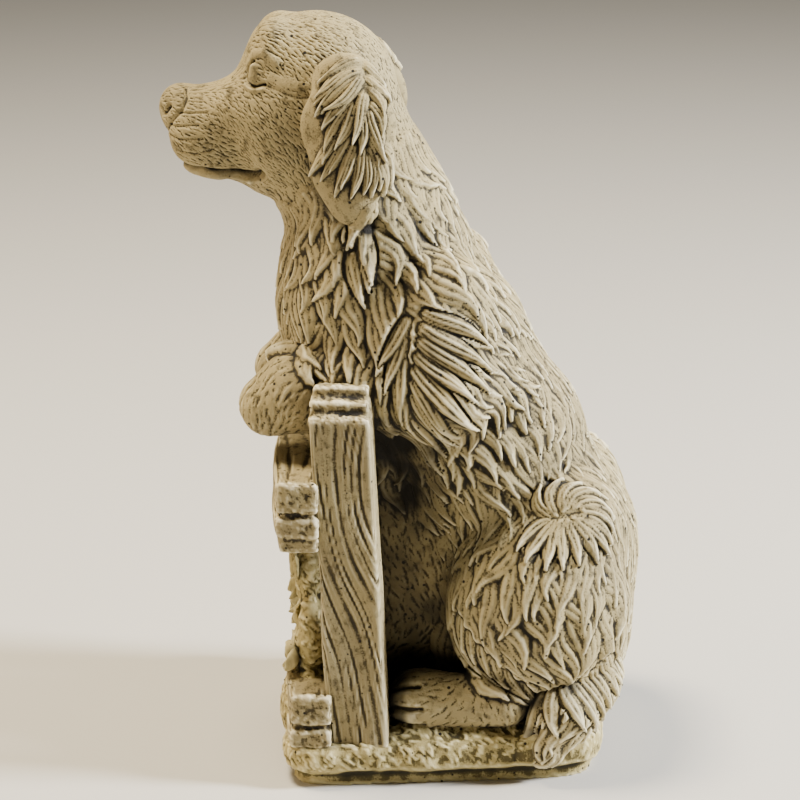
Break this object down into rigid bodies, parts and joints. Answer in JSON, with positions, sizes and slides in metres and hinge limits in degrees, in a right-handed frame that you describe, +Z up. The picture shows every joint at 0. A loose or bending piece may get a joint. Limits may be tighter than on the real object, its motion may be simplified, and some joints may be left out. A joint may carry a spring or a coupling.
{
  "type": "garden statue",
  "caption": "Cast stone garden statue of a long-haired dog sitting up with its forelegs over a rustic rail fence on a grassy base.",
  "frame": {"origin": "on the underside of the base, on the statue's middle plane, close to the middle of the base", "axes": "+Z up, the dog faces -Y, its left side is +X"},
  "size_m": [0.2633, 0.3708, 0.5715],
  "materials": {
    "cast_stone": "rough weathered cast stone, grey to cream, darker in the recesses of the carving"
  },
  "bodies": {
    "root": {"stone_dog_statue": "cast_stone"}
  },
  "joints": []
}
